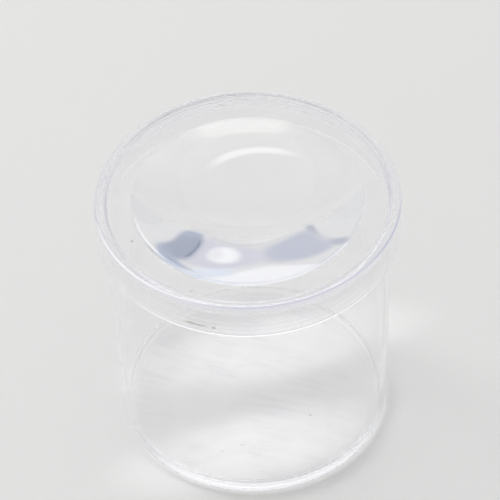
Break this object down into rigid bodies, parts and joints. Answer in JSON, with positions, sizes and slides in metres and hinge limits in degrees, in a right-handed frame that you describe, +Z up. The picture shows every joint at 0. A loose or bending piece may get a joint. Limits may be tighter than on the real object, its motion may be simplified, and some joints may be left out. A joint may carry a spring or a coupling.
{
  "type": "bug catcher jar",
  "caption": "Round clear jar with a lift-off lid whose middle is a magnifying lens, for looking at insects and small plants.",
  "frame": {"origin": "centre of the foot, in the plane that the jar stands on", "axes": "+Z up through the middle of the lens; X and Y are free, because the jar is round"},
  "size_m": [0.065, 0.065, 0.0651],
  "materials": {
    "jar_clear": "clear moulded polystyrene, glossy, with fine rub marks on the floor",
    "lid_clear": "clear moulded polystyrene, glossy, with faint flow lines in the panel",
    "lens_clear": "clear moulded polystyrene, polished"
  },
  "bodies": {
    "jar": {"jar_body": "jar_clear"},
    "lid": {"lid_cap": "lid_clear", "magnifier_lens": "lens_clear"}
  },
  "joints": [
    {"name": "lid_lift", "type": "slide", "parent": "jar", "child": "lid", "axis": [0, 0, 1], "range_m": [0, 0.02]}
  ]
}
